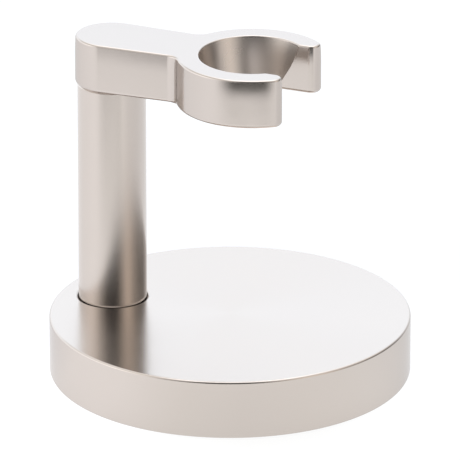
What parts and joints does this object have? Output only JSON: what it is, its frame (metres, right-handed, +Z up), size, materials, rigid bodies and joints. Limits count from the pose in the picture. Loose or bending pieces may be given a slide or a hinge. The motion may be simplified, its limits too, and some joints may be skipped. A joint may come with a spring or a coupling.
{
  "type": "razor stand",
  "caption": "Free-standing metal stand: a heavy round base, an upright post near its edge and a flat arm ending in an open ring that holds a wet-shaving razor by its neck.",
  "frame": {"origin": "centre of the round base's footprint, on the surface that the stand rests on", "axes": "+Z up along the post; +X from the post towards the open side of the ring; +Y to the left of that, and the stand is the same on both sides of the XZ plane"},
  "size_m": [0.08, 0.08, 0.0755],
  "materials": {
    "satin_nickel": "satin nickel plate, very fine matt grain, soft reflections",
    "pad_rubber": "matt black rubber sheet with a fine pressed grip texture",
    "film": "thin pale adhesive film",
    "zinc_plate": "bright zinc plate",
    "black_oxide": "oiled black oxide"
  },
  "bodies": {
    "root": {"base_disc": "satin_nickel", "foot_pad": "pad_rubber", "pad_film": "film", "post": "satin_nickel", "post_screw": "zinc_plate", "spring_washer": "zinc_plate", "flat_washer": "zinc_plate", "arm": "satin_nickel", "arm_stud": "black_oxide"}
  },
  "joints": []
}
